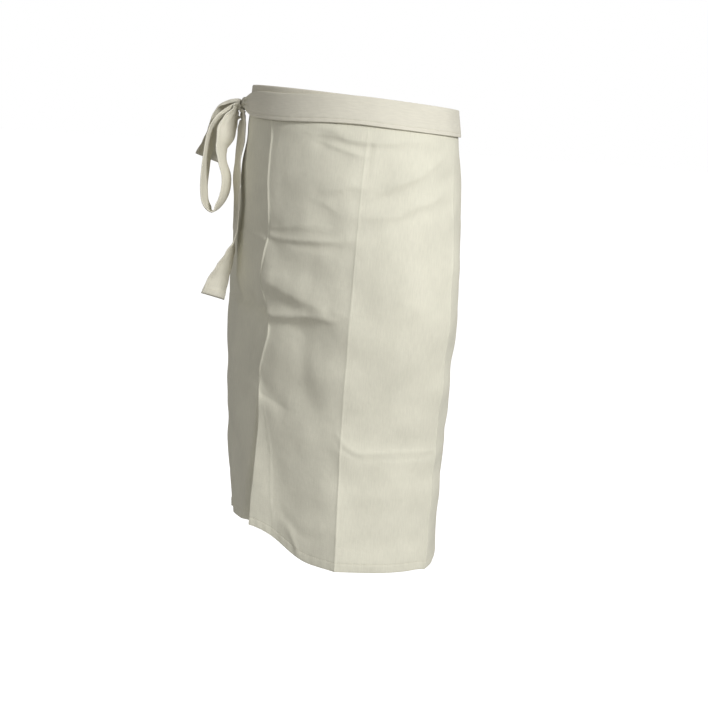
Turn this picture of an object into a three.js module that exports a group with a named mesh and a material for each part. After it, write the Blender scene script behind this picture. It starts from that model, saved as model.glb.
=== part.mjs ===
// A waist apron of cream cotton twill, in the form that it has when it is worn.
// The cloth goes once round the hips, and a folded waistband holds its top edge. Two ties leave the band's
// ends, cross at the back, come round to the wearer's front right, and are tied there in a half bow.
// Millimetres, +Z up. The wearer faces -Y and the wearer's left is +X. The origin is the middle of the waist,
// halfway up the waistband.
import * as THREE from "three";

// Driving dimensions
const clothWidth = 780;
const clothLength = 580;
const clothWall = 1.2;
const hemWall = 2;
const bottomHem = 12;
const sideHem = 9;
const creasePitch = 133;
const waistHalfWidth = 138;
const waistHalfDepth = 122;
const waistTilt = 6;
const middlePlace = 63;
const hemRise = 30;
const bandHeight = 32;
const bandLayer = 1;
const bandSeam = 3;
const tieWidth = 33;
const tieWall = 1.4;
const tieSag = 8;
const seatGap = 0.3;
const knotPlace = -104;
const knotWidth = 17;
const knotDepth = 10;
const knotHeight = 17;
const knotGather = 60;
const loopDrop = 137;
const loopReach = 51;
const shortTailDrop = 72;
const shortTailReach = 49;
const longTailDrop = 247;
const longTailReach = 33;

// Steps of the meshes
const panelRows = 25;
const creaseSteps = 11;
const arcSteps = 360;
const crossSteps = 4;
const bowSteps = 3;
const fullTurn = 2 * Math.PI;

// The form under the cloth, from the waistband's top at level 0 to the bottom hem at level 1.
// width and depth are shares of the waist's half width and half depth, and so are side and back, the shifts
// of the middle. flat is how far the cloth between two pressed creases is a flat facet.
const bodyForm = [
  { level: 0.0, width: 1.0, depth: 1.0, side: -0.015, back: -0.015, flat: 0.0 },
  { level: 0.2, width: 1.16, depth: 1.03, side: 0.01, back: -0.03, flat: 0.05 },
  { level: 0.42, width: 1.31, depth: 1.01, side: 0.01, back: -0.04, flat: 0.4 },
  { level: 0.7, width: 1.22, depth: 1.07, side: -0.09, back: 0.06, flat: 0.28 },
  { level: 1.0, width: 1.13, depth: 1.14, side: -0.06, back: 0.09, flat: 0.66 },
];

// How far the front crease wanders along the cloth, as a share of the crease pitch
const creaseWander = [
  { level: 0.0, shift: 0.0 },
  { level: 0.32, shift: 0.01 },
  { level: 0.41, shift: -0.05 },
  { level: 0.53, shift: 0.04 },
  { level: 0.68, shift: 0.0 },
  { level: 1.0, shift: 0.0 },
];

// Folds of the hanging cloth. Each lies along a line from one place and level to another. place is in crease
// pitches from the cloth's middle, and reach and height are shares of the crease pitch. The height grows
// from its share start to its share end, and is negative where the cloth goes in.
const folds = [
  { name: "open pleat", place: [-0.58, -0.58], level: [0.62, 1.02], reach: 0.06, height: -0.1, start: 0, end: 1 },
  { name: "pleat edge", place: [-0.27, -0.27], level: [0.66, 1.02], reach: 0.14, height: 0.03, start: 0.4, end: 1 },
  { name: "upper cross crease", place: [-1.1, 0.45], level: [0.32, 0.318], reach: 0.1, height: -0.02, start: 0.6, end: 1 },
  { name: "hip cross crease", place: [-1.2, -0.5], level: [0.47, 0.505], reach: 0.1, height: -0.035, start: 0.6, end: 1 },
  { name: "front cross crease", place: [-0.5, 0.3], level: [0.505, 0.485], reach: 0.1, height: -0.04, start: 1, end: 0.7 },
  { name: "belly sag", place: [-0.55, 0.05], level: [0.42, 0.462], reach: 0.11, height: -0.025, start: 0.6, end: 1 },
  { name: "lower cross crease", place: [-0.5, -0.2], level: [0.655, 0.69], reach: 0.1, height: -0.02, start: 1, end: 0.5 },
  { name: "knee cross crease", place: [0.5, 1.5], level: [0.735, 0.745], reach: 0.09, height: 0.02, start: 1, end: 1 },
  { name: "waist drag", place: [0.1, 1.3], level: [0.1, 0.085], reach: 0.09, height: -0.022, start: 0.6, end: 1 },
  { name: "hip drag", place: [0.5, 1.4], level: [0.215, 0.145], reach: 0.09, height: -0.022, start: 0.5, end: 1 },
  { name: "low drag", place: [0.5, 1.4], level: [0.265, 0.2], reach: 0.09, height: -0.02, start: 0.6, end: 1 },
  { name: "right flank", place: [-1.55, -1.55], level: [0.75, 1.02], reach: 0.4, height: -0.06, start: 0.1, end: 1 },
  { name: "side recess", place: [1.4, 1.4], level: [0.8, 1.02], reach: 0.1, height: -0.025, start: 0.3, end: 1 },
];

// The strips of the half bow, from the knot outwards. round is how far along the waist from the knot, in tie
// widths and towards the wearer's left. drop is a share of the strip's drop below the knot's middle, and off a
// share of its reach from the cloth. turn is the angle of the strip's width: 0 lies along the waist and 90
// points away from the body. width is a share of the tie width.
const loopRows = [
  { round: 0.18, drop: 0.09, off: 0.36, turn: 24, width: 0.66 },
  { round: 0.3, drop: 0.17, off: 0.45, turn: 38, width: 0.84 },
  { round: 0.4, drop: 0.27, off: 0.53, turn: 44, width: 0.94 },
  { round: 0.52, drop: 0.4, off: 0.61, turn: 20, width: 1 },
  { round: 0.54, drop: 0.53, off: 0.56, turn: 13, width: 1 },
  { round: 0.52, drop: 0.68, off: 0.42, turn: 15, width: 1 },
  { round: 0.5, drop: 0.82, off: 0.43, turn: 15, width: 1 },
  { round: 0.46, drop: 0.94, off: 0.56, turn: 12, width: 1 },
  { round: 0.44, drop: 1, off: 0.74, turn: 6, width: 1 },
  { round: 0.42, drop: 0.94, off: 0.92, turn: 8, width: 1 },
  { round: 0.4, drop: 0.8, off: 0.99, turn: 9, width: 1 },
  { round: 0.4, drop: 0.61, off: 0.98, turn: 11, width: 1 },
  { round: 0.38, drop: 0.42, off: 0.95, turn: 12, width: 0.96 },
  { round: 0.32, drop: 0.29, off: 0.92, turn: 10, width: 0.86 },
  { round: 0.22, drop: 0.17, off: 0.82, turn: 6, width: 0.7 },
  { round: 0.08, drop: 0.07, off: 0.59, turn: 0, width: 0.5 },
];
const shortTailRows = [
  { round: -0.1, drop: -0.02, off: 0.55, turn: 14, width: 0.56 },
  { round: -0.24, drop: 0.07, off: 0.76, turn: 26, width: 0.74 },
  { round: -0.4, drop: 0.26, off: 0.86, turn: 32, width: 0.84 },
  { round: -0.52, drop: 0.5, off: 0.88, turn: 40, width: 0.9 },
  { round: -0.58, drop: 0.75, off: 0.92, turn: 52, width: 0.96 },
  { round: -0.6, drop: 1, off: 1, turn: 68, width: 1 },
];
const longTailRows = [
  { round: 0.16, drop: 0.07, off: 0.25, turn: -16, width: 0.6 },
  { round: 0.3, drop: 0.12, off: 0.22, turn: -28, width: 0.68 },
  { round: 0.42, drop: 0.2, off: 0.2, turn: -28, width: 0.74 },
  { round: 0.54, drop: 0.29, off: 0.26, turn: -20, width: 0.76 },
  { round: 0.56, drop: 0.38, off: 0.25, turn: -26, width: 0.78 },
  { round: 0.58, drop: 0.49, off: 0.22, turn: -20, width: 0.8 },
  { round: 0.56, drop: 0.63, off: 0.24, turn: -16, width: 0.82 },
  { round: 0.54, drop: 0.7, off: 0.27, turn: -4, width: 0.84 },
  { round: 0.52, drop: 0.77, off: 0.4, turn: 20, width: 0.87 },
  { round: 0.48, drop: 0.85, off: 0.62, turn: 40, width: 0.9 },
  { round: 0.46, drop: 0.93, off: 0.85, turn: 60, width: 0.94 },
  { round: 0.46, drop: 1, off: 1, turn: 74, width: 0.96 },
];

// Sizes that follow from the driving dimensions
const rightEdge = middlePlace - clothWidth / 2;
const leftEdge = middlePlace + clothWidth / 2;
const bandTop = bandHeight / 2;
const bandHalf = clothWall / 2 + seatGap + bandLayer;
const tieOff = bandHalf + seatGap + tieWall / 2;
const knotOff = bandHalf + seatGap + tieWall + knotDepth / 2;
const knotDown = bandHeight / 2 + tieSag;
const frontCrease = middlePlace - creasePitch / 2;
const sideCrease = middlePlace + creasePitch / 2;

// Smooth helpers
function ease(from, to, value) {
  return THREE.MathUtils.smoothstep(value, from, to);
}

function mix(from, to, share) {
  return from + (to - from) * share;
}

// A column's value at a level, on a smooth curve through the table's rows
function rowValue(rows, column, level) {
  const last = rows.length - 1;
  let low = 0;
  while (low < last - 1 && level > rows[low + 1].level) low += 1;
  const slope = (row) => {
    const before = rows[Math.max(0, row - 1)];
    const after = rows[Math.min(last, row + 1)];
    return (after[column] - before[column]) / (after.level - before.level);
  };
  const a = rows[low];
  const b = rows[low + 1];
  const span = b.level - a.level;
  const u = THREE.MathUtils.clamp((level - a.level) / span, 0, 1);
  const rise = u * u * (3 - 2 * u);
  const bend = u * (1 - u);
  const lean = bend * (1 - u) * slope(low) - bend * u * slope(low + 1);
  return mix(a[column], b[column], rise) + span * lean;
}

// The ellipse round the body at a level, with the length along it from the front
const ringCache = new Map();
function bodyRing(level) {
  if (ringCache.has(level)) return ringCache.get(level);
  const halfWidth = waistHalfWidth * rowValue(bodyForm, "width", level);
  const halfDepth = waistHalfDepth * rowValue(bodyForm, "depth", level);
  const x = waistHalfWidth * rowValue(bodyForm, "side", level);
  const y = waistHalfDepth * rowValue(bodyForm, "back", level);
  const points = [];
  const lengths = [0];
  for (let i = 0; i <= arcSteps; i += 1) {
    const angle = (i / arcSteps) * fullTurn;
    points.push(new THREE.Vector2(x + halfWidth * Math.sin(angle), y - halfDepth * Math.cos(angle)));
    if (i > 0) lengths.push(lengths[i - 1] + points[i].distanceTo(points[i - 1]));
  }
  const ring = { points, lengths, girth: lengths[arcSteps] };
  ringCache.set(level, ring);
  return ring;
}

// The point of a ring at a place, which is the length along the cloth from the front, towards the left
function ringPoint(ring, place) {
  const length = THREE.MathUtils.euclideanModulo(place, ring.girth);
  let low = 0;
  let high = arcSteps;
  while (high - low > 1) {
    const middle = (low + high) >> 1;
    if (ring.lengths[middle] > length) high = middle;
    else low = middle;
  }
  const share = (length - ring.lengths[low]) / (ring.lengths[high] - ring.lengths[low]);
  return ring.points[low].clone().lerp(ring.points[high], share);
}

// The place of a pressed crease, counted from the first one right of the cloth's middle
function creasePlace(count, level) {
  const wander = count === 0 ? creasePitch * rowValue(creaseWander, "shift", level) : 0;
  return frontCrease + count * creasePitch + wander;
}

// How far the folds move the cloth out at a place and level
function foldHeight(place, level) {
  let height = 0;
  for (const fold of folds) {
    const from = new THREE.Vector2(middlePlace + fold.place[0] * creasePitch, fold.level[0] * clothLength);
    const to = new THREE.Vector2(middlePlace + fold.place[1] * creasePitch, fold.level[1] * clothLength);
    const line = to.clone().sub(from);
    const here = new THREE.Vector2(place, level * clothLength).sub(from);
    const share = THREE.MathUtils.clamp(here.dot(line) / line.lengthSq(), 0, 1);
    const away = here.addScaledVector(line, -share).length() / (fold.reach * creasePitch);
    height += creasePitch * fold.height * mix(fold.start, fold.end, share) * Math.exp(-away * away);
  }
  return height;
}

// A place past the left edge goes on over the gap at the back, and meets the right edge after it
function wrapped(place, level) {
  const girth = bodyRing(0).girth;
  if (place <= leftEdge) return place;
  if (place >= rightEdge + girth) return place - girth;
  const share = (place - leftEdge) / (rightEdge + girth - leftEdge);
  return mix(leftEdge, rightEdge + bodyRing(level).girth, share);
}

// The cloth's plan at a place and level, with its facets
function clothPlan(place, level) {
  const ring = bodyRing(level);
  let count = Math.floor((place - frontCrease) / creasePitch);
  if (place < creasePlace(count, level)) count -= 1;
  if (place >= creasePlace(count + 1, level)) count += 1;
  const from = creasePlace(count, level);
  const to = creasePlace(count + 1, level);
  const facet = ringPoint(ring, from).lerp(ringPoint(ring, to), (place - from) / (to - from));
  return ringPoint(ring, place).lerp(facet, rowValue(bodyForm, "flat", level));
}

// The height of the waistband's top edge, which is a little lower at the back left
function topHeight(place) {
  const point = ringPoint(bodyRing(0), place);
  return bandTop - waistTilt * (point.x / waistHalfWidth + point.y / waistHalfDepth);
}

// The drop of the cloth from that edge to the bottom hem, which is least at the front crease
function clothDrop(place) {
  const front = 1 - ease(frontCrease, sideCrease - creasePitch / 4, place);
  const right = 1 - ease(0, creasePitch, frontCrease - place) / 2;
  return clothLength - hemRise * front * right;
}

function planNormal(place, level) {
  const step = 1;
  const along = clothPlan(place + step, level).sub(clothPlan(place - step, level));
  return new THREE.Vector3(along.y, -along.x, 0).normalize();
}

// A point at a place and a depth below the top edge, off the middle of the cloth's wall
function clothPoint(place, depth, off) {
  const level = depth / clothDrop(wrapped(place, 0));
  const around = wrapped(place, level);
  const flat = clothPlan(around, level);
  const point = new THREE.Vector3(flat.x, flat.y, topHeight(place) - depth);
  return point.addScaledVector(planNormal(around, level), off);
}

// A closed mesh from its points and triangles, with its faces turned outwards
function solid(points, triangles) {
  const volume = triangles.reduce((sum, t) => {
    const [a, b, c] = t.map((i) => points[i]);
    return sum + a.dot(b.clone().cross(c));
  }, 0);
  const index = volume < 0 ? triangles.flatMap(([a, b, c]) => [a, c, b]) : triangles.flat();
  const geometry = new THREE.BufferGeometry().setFromPoints(points);
  geometry.setIndex(index);
  geometry.computeVertexNormals();
  return geometry;
}

// A solid from rings of points, each ring the same section at the next station. A side of the section that
// falls is split along its other diagonal, so that walls that lie on each other bend alike.
function loft(rings, falls = () => false) {
  const size = rings[0].length;
  const triangles = [];
  for (let i = 0; i < rings.length - 1; i += 1) {
    for (let k = 0; k < size; k += 1) {
      const a = i * size + k;
      const b = i * size + ((k + 1) % size);
      if (falls(k)) triangles.push([a, b, a + size], [b, b + size, a + size]);
      else triangles.push([a, b, b + size], [a, b + size, a + size]);
    }
  }
  return { points: rings.flat(), triangles, size, last: (rings.length - 1) * size };
}

// A loft with its ends closed by the section's own triangles
function strip(rings, section) {
  const falls = (k) => section[(k + 1) % section.length].y < section[k].y;
  const { points, triangles, last } = loft(rings, falls);
  const ends = THREE.ShapeUtils.triangulateShape(section, []);
  ends.forEach(([a, b, c]) => triangles.push([c, b, a], [last + a, last + b, last + c]));
  return solid(points, triangles);
}

// The flat section of a tie, with soft edges: x is through its wall and y across its width
function tieSection(width) {
  const half = width / 2;
  const flat = half - tieWall / 2;
  const wall = tieWall / 2;
  return [
    new THREE.Vector2(0, half),
    new THREE.Vector2(-wall, flat),
    new THREE.Vector2(-wall, -flat),
    new THREE.Vector2(0, -half),
    new THREE.Vector2(wall, -flat),
    new THREE.Vector2(wall, flat),
  ];
}

// Apron panel: one sheet of twill, with its side and bottom hems turned and sewn
function panelPlaces() {
  const places = [rightEdge, rightEdge + sideHem, leftEdge - sideHem, leftEdge];
  const first = Math.ceil((rightEdge - frontCrease) / creasePitch) - 1;
  const last = Math.floor((leftEdge - frontCrease) / creasePitch);
  for (let count = first; count <= last; count += 1) {
    for (let step = 0; step < creaseSteps; step += 1) {
      places.push(frontCrease + (count + step / creaseSteps) * creasePitch);
    }
  }
  const pleat = folds[0];
  [-2, -1, 1, 2].forEach((side) => {
    places.push(middlePlace + (pleat.place[0] + (side * pleat.reach) / 2) * creasePitch);
  });
  const inside = places.filter((place) => place >= rightEdge && place <= leftEdge);
  return inside.sort((a, b) => a - b).filter((place, i, all) => i === 0 || place - all[i - 1] > 1.5);
}

function panelLevels() {
  const belowBand = (bandHeight + bandSeam) / clothLength;
  const hem = 1 - bottomHem / clothLength;
  const levels = [bandSeam / clothLength];
  for (let row = 0; row < panelRows; row += 1) levels.push(mix(belowBand, hem, row / (panelRows - 1)));
  levels.push(1);
  return levels;
}

function apronPanel() {
  const places = panelPlaces();
  const levels = panelLevels();
  const wide = places.length;
  const sides = [1, -1].map((side) =>
    levels.map((level) =>
      places.map((place) => {
        const inSide = Math.min(place - rightEdge, leftEdge - place) < sideHem / 2;
        const belowBand = level * clothLength > bandHeight * 1.5;
        const wall = (inSide && belowBand) || level === 1 ? hemWall : clothWall;
        const free = ease(bandHeight + bandSeam, bandHeight * 2, level * clothLength);
        const off = foldHeight(place, level) * free + (side * wall) / 2;
        return clothPoint(place, level * clothDrop(place), off);
      })
    )
  );
  const points = sides.flat(2);
  const back = wide * levels.length;
  const triangles = [];
  const quad = (a, b, c, d) => triangles.push([a, b, d], [b, c, d]);
  for (let i = 0; i < levels.length - 1; i += 1) {
    for (let j = 0; j < wide - 1; j += 1) {
      const a = i * wide + j;
      quad(a, a + wide, a + wide + 1, a + 1);
      quad(back + a, back + a + 1, back + a + wide + 1, back + a + wide);
    }
    const left = i * wide;
    const right = left + wide - 1;
    quad(left, back + left, back + left + wide, left + wide);
    quad(right, right + wide, back + right + wide, back + right);
  }
  for (let j = 0; j < wide - 1; j += 1) {
    const low = (levels.length - 1) * wide + j;
    quad(j, j + 1, back + j + 1, back + j);
    quad(low, back + low, back + low + 1, low + 1);
  }
  return solid(points, triangles);
}

// Waistband: a strip folded over the panel's top edge, with the edge between its two layers
function waistband() {
  const slot = bandHalf - bandLayer;
  const round = bandLayer;
  const section = [
    new THREE.Vector2(bandHalf, -bandHeight),
    new THREE.Vector2(bandHalf, -round),
    new THREE.Vector2(bandHalf / 2, -round / 4),
    new THREE.Vector2(0, 0),
    new THREE.Vector2(-bandHalf / 2, -round / 4),
    new THREE.Vector2(-bandHalf, -round),
    new THREE.Vector2(-bandHalf, -bandHeight),
    new THREE.Vector2(-slot, -bandHeight),
    new THREE.Vector2(-slot, seatGap - bandSeam),
    new THREE.Vector2(slot, seatGap - bandSeam),
    new THREE.Vector2(slot, -bandHeight),
  ];
  const rings = panelPlaces().map((place) =>
    section.map((p) => clothPoint(place, -p.y, p.x))
  );
  return strip(rings, section);
}

// A tie that lies round the waist, from the band's end to the knot. It narrows where the two ties cross at
// the back, one above the other, and where the knot gathers it.
function wornTie(from, to, side, sag) {
  const girth = bodyRing(0).girth;
  const crossing = (leftEdge + rightEdge + girth) / 2;
  const gap = (rightEdge + girth - leftEdge) / 2;
  const low = Math.min(from, to);
  const high = Math.max(from, to);
  const places = panelPlaces().flatMap((place) => [place, place + girth]);
  for (let step = 1 - crossSteps; step < crossSteps; step += 1) places.push(crossing + (gap * step) / crossSteps);
  places.push(low, high);
  const inward = Math.sign(from - to) * knotGather;
  [0.06, 0.16, 0.3, 0.5].forEach((share) => places.push(to + share * inward));
  const inside = places.filter((place) => place >= low && place <= high).sort((a, b) => a - b);
  const rings = inside.map((place) => {
    const cross = 1 - ease(gap * 0.8, gap * 3, Math.abs(place - crossing));
    const gather = Math.max(0, 1 - Math.abs(place - to) / knotGather) ** 2;
    const width = tieWidth * (1 - 0.56 * cross) * (1 - 0.6 * gather);
    const rise = ease(0, gap * 1.8, Math.abs(place - from));
    const off = mix(tieOff * rise, knotOff, gather);
    const drop = mix(sag(place) * (1 - cross), tieSag, gather);
    const middle = bandHeight / 2 + drop - side * cross * tieWidth * 0.26;
    return tieSection(width).map((p) => clothPoint(place, middle - p.y, off + p.x));
  });
  return strip(rings, tieSection(tieWidth));
}

// How far along the cloth the knot's flank lies from its middle, with the gap to the tie that it gathers
function knotFlank() {
  const spread = clothPoint(knotPlace + 1, knotDown, knotOff).distanceTo(clothPoint(knotPlace, knotDown, knotOff));
  return (knotWidth / 2 + seatGap) / spread;
}

function frontTie() {
  const from = rightEdge + bodyRing(0).girth - seatGap;
  const to = knotPlace + knotFlank();
  return wornTie(from, to, 1, (place) => tieSag * (1 - ease(sideCrease - creasePitch, sideCrease, place)));
}

function backTie() {
  const from = leftEdge + seatGap;
  const to = knotPlace + bodyRing(0).girth - knotFlank();
  return wornTie(from, to, -1, () => tieSag / 2);
}

// Knot: the gathered crossing of the ties, with the turn of cloth that holds the bow
function knotFrame() {
  const middle = clothPoint(knotPlace, knotDown, knotOff);
  const out = planNormal(knotPlace, 0);
  const round = new THREE.Vector3(-out.y, out.x, 0);
  return { middle, out, round, up: new THREE.Vector3(0, 0, 1) };
}

function knot() {
  const { middle, out, round, up } = knotFrame();
  const turns = 16;
  const rows = 10;
  const rings = [];
  for (let i = 1; i < rows; i += 1) {
    const lean = (i / rows) * Math.PI;
    const ring = [];
    for (let k = 0; k < turns; k += 1) {
      const angle = (k / turns) * fullTurn;
      const groove = 1 - 0.06 * (1 - Math.cos(4 * lean)) * Math.abs(Math.sin(angle));
      const reach = Math.sin(lean) * groove;
      const point = middle.clone().addScaledVector(up, (Math.cos(lean) * knotHeight) / 2);
      point.addScaledVector(out, (Math.cos(angle) * reach * knotDepth) / 2);
      ring.push(point.addScaledVector(round, (Math.sin(angle) * reach * knotWidth) / 2));
    }
    rings.push(ring);
  }
  const { points, triangles, last } = loft(rings);
  const top = points.push(middle.clone().addScaledVector(up, knotHeight / 2)) - 1;
  const bottom = points.push(middle.clone().addScaledVector(up, -knotHeight / 2)) - 1;
  for (let k = 0; k < turns; k += 1) {
    const next = (k + 1) % turns;
    triangles.push([top, next, k], [bottom, last + k, last + next]);
  }
  return solid(points, triangles);
}

// A strip of the bow: it leaves the knot square to the knot's skin, follows its table's rows, and a loop comes
// back to the knot
function bowStrip(rows, drop, reach, angles) {
  const { middle, out, round, up } = knotFrame();
  const leave = (angle) => {
    const turn = THREE.MathUtils.degToRad(angle);
    const skin = middle.clone().addScaledVector(out, (Math.cos(turn) * knotDepth) / 2);
    skin.addScaledVector(up, (Math.sin(turn) * knotHeight) / 2);
    const square = out.clone().multiplyScalar(Math.cos(turn) / knotDepth).addScaledVector(up, Math.sin(turn) / knotHeight);
    square.normalize();
    const held = { turn: 0, width: knotWidth / tieWidth };
    return [seatGap, seatGap + tieWidth / 8].map((away) => ({ point: skin.clone().addScaledVector(square, away), ...held }));
  };
  const path = rows.map((row) => {
    const place = knotPlace + row.round * tieWidth;
    const point = clothPoint(place, knotDown + row.drop * drop, row.off * reach);
    return { point, turn: row.turn, width: row.width };
  });
  path.unshift(...leave(angles[0]));
  if (angles.length > 1) path.push(...leave(angles[1]).reverse());
  const curve = new THREE.CatmullRomCurve3(path.map((p) => p.point), false, "centripetal");
  const stations = (path.length - 1) * bowSteps;
  const rings = [];
  for (let i = 0; i <= stations; i += 1) {
    const low = Math.min(Math.floor(i / bowSteps), path.length - 2);
    const share = ease(0, 1, i / bowSteps - low);
    const turn = THREE.MathUtils.degToRad(mix(path[low].turn, path[low + 1].turn, share));
    const width = tieWidth * mix(path[low].width, path[low + 1].width, share);
    const point = curve.getPoint(i / stations);
    const along = curve.getTangent(i / stations);
    const wide = round.clone().multiplyScalar(Math.cos(turn)).addScaledVector(out, Math.sin(turn));
    wide.addScaledVector(along, -wide.dot(along)).normalize();
    const thick = new THREE.Vector3().crossVectors(along, wide);
    rings.push(tieSection(width).map((p) => point.clone().addScaledVector(wide, p.y).addScaledVector(thick, p.x)));
  }
  return strip(rings, tieSection(tieWidth));
}

// The apron
const twill = new THREE.MeshStandardMaterial({ color: 0xd8d6c6, roughness: 0.92, metalness: 0 });
const tape = new THREE.MeshStandardMaterial({ color: 0xd4d0bc, roughness: 0.9, metalness: 0 });

const apron = new THREE.Group();
function add(name, geometry, material) {
  const mesh = new THREE.Mesh(geometry, material);
  mesh.name = name;
  apron.add(mesh);
}

add("apron_panel", apronPanel(), twill);
add("waistband", waistband(), tape);
add("front_tie", frontTie(), tape);
add("back_tie", backTie(), tape);
add("knot", knot(), tape);
add("bow_loop", bowStrip(loopRows, loopDrop, loopReach, [-34, -8]), tape);
add("short_tail", bowStrip(shortTailRows, shortTailDrop, shortTailReach, [18]), tape);
add("long_tail", bowStrip(longTailRows, longTailDrop, longTailReach, [-78]), tape);

export default apron;
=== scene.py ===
import bpy
import numpy as np
from mathutils import Matrix


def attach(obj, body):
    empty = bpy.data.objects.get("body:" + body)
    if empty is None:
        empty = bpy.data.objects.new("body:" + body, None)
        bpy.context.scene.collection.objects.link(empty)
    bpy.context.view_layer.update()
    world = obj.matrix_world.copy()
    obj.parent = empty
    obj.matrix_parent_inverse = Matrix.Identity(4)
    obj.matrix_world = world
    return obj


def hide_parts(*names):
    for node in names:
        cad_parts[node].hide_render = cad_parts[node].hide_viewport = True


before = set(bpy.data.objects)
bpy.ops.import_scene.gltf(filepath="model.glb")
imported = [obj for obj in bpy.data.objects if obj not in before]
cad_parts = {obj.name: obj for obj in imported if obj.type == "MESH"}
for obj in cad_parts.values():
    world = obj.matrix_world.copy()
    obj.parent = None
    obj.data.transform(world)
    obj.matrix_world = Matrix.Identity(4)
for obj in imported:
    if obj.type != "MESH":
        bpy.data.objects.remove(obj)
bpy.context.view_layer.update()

# The view: it stands at the wearer's front left, a little above the waist, and looks slightly down.
# The picture is square, and its content is turned a few degrees clockwise.
VIEW_AZIMUTH = np.radians(49)
VIEW_DISTANCE = 1.750
VIEW_SIDE = 0.0173
VIEW_RISE = -0.0264
VIEW_PITCH = np.radians(9.28)
VIEW_ROLL = np.radians(3.67)
VIEW_LENS = 68.93

level_look = np.array([-np.sin(VIEW_AZIMUTH), np.cos(VIEW_AZIMUTH), 0.0])
level_right = np.array([np.cos(VIEW_AZIMUTH), np.sin(VIEW_AZIMUTH), 0.0])
upward = np.array([0.0, 0.0, 1.0])
look = level_look * np.cos(VIEW_PITCH) - upward * np.sin(VIEW_PITCH)
above = upward * np.cos(VIEW_PITCH) + level_look * np.sin(VIEW_PITCH)
view_right = level_right * np.cos(VIEW_ROLL) + above * np.sin(VIEW_ROLL)
view_up = above * np.cos(VIEW_ROLL) - level_right * np.sin(VIEW_ROLL)
view_place = level_right * VIEW_SIDE + upward * VIEW_RISE - level_look * VIEW_DISTANCE

camera_data = bpy.data.cameras.new("view")
camera_data.lens = VIEW_LENS
camera_data.sensor_width = 36
camera_data.clip_end = 200
camera = bpy.data.objects.new("view", camera_data)
bpy.context.collection.objects.link(camera)
camera.matrix_world = Matrix(
    [[view_right[i], view_up[i], -look[i], view_place[i]] for i in range(3)] + [[0, 0, 0, 1]]
)
bpy.context.scene.camera = camera

# Studio: a pale floor far below the held-up apron, an even white room, and one soft lamp from the wearer's
# left and front, with a weak one from the right.
FLOOR_DROP = 1.0
FLOOR_SIZE = 120.0


def empty_material(name):
    """A material with one Principled shader, and its nodes, links and shader."""
    material = bpy.data.materials.new(name)
    material.use_nodes = True
    nodes, links = material.node_tree.nodes, material.node_tree.links
    return material, nodes, links, nodes["Principled BSDF"]


def seen_or_lit(tree, seen, lit_kind, lit_colour):
    """Puts out the shader seen where the camera looks straight at it, and a plain one for the light it gives."""
    lit = tree.nodes.new(lit_kind)
    lit.inputs["Color"].default_value = (lit_colour, lit_colour * 0.98, lit_colour * 0.95, 1)
    ray = tree.nodes.new("ShaderNodeLightPath")
    choose = tree.nodes.new("ShaderNodeMixShader")
    tree.links.new(ray.outputs["Is Camera Ray"], choose.inputs["Fac"])
    tree.links.new(lit.outputs[0], choose.inputs[1])
    tree.links.new(seen, choose.inputs[2])
    output = [node for node in tree.nodes if node.type.startswith("OUTPUT")][0]
    tree.links.new(choose.outputs["Shader"], output.inputs["Surface"])


floor_data = bpy.data.meshes.new("floor")
corner = FLOOR_SIZE / 2
floor_data.from_pydata(
    [(-corner, -corner, -FLOOR_DROP), (corner, -corner, -FLOOR_DROP),
     (corner, corner, -FLOOR_DROP), (-corner, corner, -FLOOR_DROP)], [], [(0, 1, 2, 3)]
)
floor = bpy.data.objects.new("floor", floor_data)
bpy.context.collection.objects.link(floor)
floor_finish, _, _, floor_shader = empty_material("pale floor")
floor_shader.inputs["Base Color"].default_value = (0.9, 0.9, 0.9, 1)
floor_shader.inputs["Roughness"].default_value = 1.0
floor_shader.inputs["Specular IOR Level"].default_value = 0.0
floor_shader.inputs["Emission Color"].default_value = (1, 1, 1, 1)
floor_shader.inputs["Emission Strength"].default_value = 0.8
seen_or_lit(floor_finish.node_tree, floor_shader.outputs["BSDF"], "ShaderNodeBsdfDiffuse", 0.5)
floor_data.materials.append(floor_finish)

world = bpy.data.worlds.new("white room")
world.use_nodes = True
room = world.node_tree.nodes["Background"]
room.inputs["Color"].default_value = (1, 1, 1, 1)
room.inputs["Strength"].default_value = 1.0
seen_or_lit(world.node_tree, room.outputs["Background"], "ShaderNodeBackground", 0.3)
bpy.context.scene.world = world
bpy.context.scene.view_settings.view_transform = "Standard"


def studio_lamp(name, azimuth, rise, distance, size, power, aim=(0, 0, -0.25)):
    """A square lamp on a sphere round its aim, at an azimuth from the front and a rise in degrees."""
    turn, tilt = np.radians(azimuth), np.radians(rise)
    out = np.array([np.sin(turn) * np.cos(tilt), -np.cos(turn) * np.cos(tilt), np.sin(tilt)])
    lamp_data = bpy.data.lights.new(name, "AREA")
    lamp_data.shape = "SQUARE"
    lamp_data.size = size
    lamp_data.energy = power
    lamp = bpy.data.objects.new(name, lamp_data)
    bpy.context.collection.objects.link(lamp)
    side = np.cross(upward, out)
    side /= np.linalg.norm(side)
    top = np.cross(out, side)
    place = np.array(aim) + out * distance
    lamp.matrix_world = Matrix(
        [[side[i], top[i], out[i], place[i]] for i in range(3)] + [[0, 0, 0, 1]]
    )


studio_lamp("key lamp", azimuth=84, rise=28, distance=4.5, size=0.8, power=140)
studio_lamp("fill lamp", azimuth=-20, rise=20, distance=3.2, size=1.6, power=7)

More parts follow.
